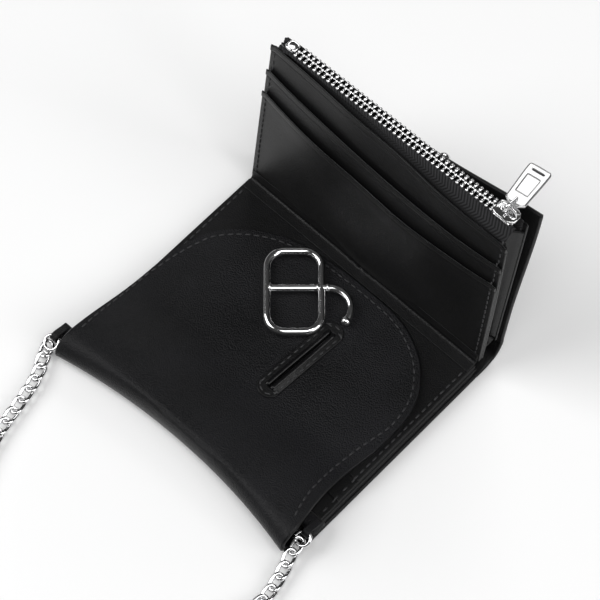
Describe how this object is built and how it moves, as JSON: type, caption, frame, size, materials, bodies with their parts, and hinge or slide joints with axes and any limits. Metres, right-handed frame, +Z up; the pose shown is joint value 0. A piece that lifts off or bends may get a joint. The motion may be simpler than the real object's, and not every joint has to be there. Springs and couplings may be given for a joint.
{
  "type": "chain wallet",
  "caption": "Folding leather wallet with a rounded flap, card pockets, a zipped coin pocket, a metal ornament and a long curb chain.",
  "frame": {"origin": "on the underside of the back panel, at the middle of its width and length", "axes": "+Z up from the surface the wallet lies on, +Y from the flap's fold towards the spine, +X towards the side where the note space opens"},
  "size_m": [0.1846, 0.2346, 0.0925],
  "materials": {
    "pebbled_leather": "fine pebbled grain, semi-matte",
    "smooth_leather": "smooth, light sheen",
    "zip_tape": "herringbone weave, matte",
    "polished_silver": "polished",
    "satin_silver": "satin"
  },
  "bodies": {
    "back_panel": {"back_shell": "pebbled_leather", "back_bill_lining": "smooth_leather", "back_edge_seam": "smooth_leather", "back_card_base": "smooth_leather", "back_card_pocket_1": "smooth_leather", "back_card_pocket_2": "smooth_leather", "back_card_pocket_3": "smooth_leather", "flap_fold": "pebbled_leather", "spine_shell": "pebbled_leather", "spine_lining": "smooth_leather", "ring_tab_left": "pebbled_leather", "ring_tab_right": "pebbled_leather", "chain_left": "polished_silver", "chain_right": "polished_silver", "chain_coil": "polished_silver"},
    "flap": {"flap_outer": "pebbled_leather", "flap_lining": "smooth_leather", "slot_welts": "pebbled_leather", "ornament_frame": "polished_silver", "ornament_bar": "polished_silver", "ornament_hook": "polished_silver", "ornament_posts": "polished_silver", "ornament_washers": "polished_silver"},
    "folding_panel": {"card_pocket_lower": "smooth_leather", "card_pocket_upper": "smooth_leather", "coin_front_wall": "smooth_leather", "coin_rear_wall": "smooth_leather", "coin_side_left": "smooth_leather", "coin_side_right": "smooth_leather", "coin_floor": "smooth_leather", "front_shell": "pebbled_leather", "front_edge_seam": "smooth_leather", "closing_stud": "polished_silver", "stud_washer": "polished_silver", "zip_tape_front": "zip_tape", "zip_tape_rear": "zip_tape", "zip_teeth_front": "polished_silver", "zip_teeth_rear": "polished_silver", "zip_bottom_stop": "polished_silver", "zip_top_stops": "polished_silver"},
    "zip_slider": {"slider_top": "polished_silver", "slider_base": "polished_silver"},
    "puller_link": {"puller_link": "polished_silver"},
    "zip_puller": {"zip_puller": "satin_silver"},
    "ring_left": {"ring_left": "polished_silver"},
    "ring_right": {"ring_right": "polished_silver"}
  },
  "joints": [
    {"name": "flap_hinge", "type": "hinge", "parent": "back_panel", "child": "flap", "pos_m": [0, -0.042, 0.0065], "axis": [1, 0, 0], "range_deg": [0, 150], "deforming": ["flap_fold"]},
    {"name": "spine_fold", "type": "hinge", "parent": "back_panel", "child": "folding_panel", "pos_m": [0, 0.0485, 0.0062], "axis": [1, 0, 0], "range_deg": [-42, 50], "deforming": ["spine_shell", "spine_lining"]},
    {"name": "zip_slide", "type": "slide", "parent": "folding_panel", "child": "zip_slider", "axis": [-0.9999, -0.0121, 0.0016], "range_m": [0, 0.0889]},
    {"name": "link_swing", "type": "hinge", "parent": "zip_slider", "child": "puller_link", "pos_m": [0.04776, 0.06519, 0.09036], "axis": [0.9999, 0.0121, -0.0016], "range_deg": [0, 170]},
    {"name": "puller_turn", "type": "hinge", "parent": "puller_link", "child": "zip_puller", "pos_m": [0.04771, 0.06874, 0.08932], "axis": [-0.0019, 0.2807, 0.9598], "range_deg": [-40, 20]},
    {"name": "ring_left_spin", "type": "hinge", "parent": "back_panel", "child": "ring_left", "pos_m": [-0.0612, -0.04773, 0.00342], "axis": [0, -0.4384, 0.8988], "continuous": true},
    {"name": "ring_right_spin", "type": "hinge", "parent": "back_panel", "child": "ring_right", "pos_m": [0.0555, -0.04183, 0.00612], "axis": [0, -0.4384, 0.8988], "continuous": true}
  ]
}
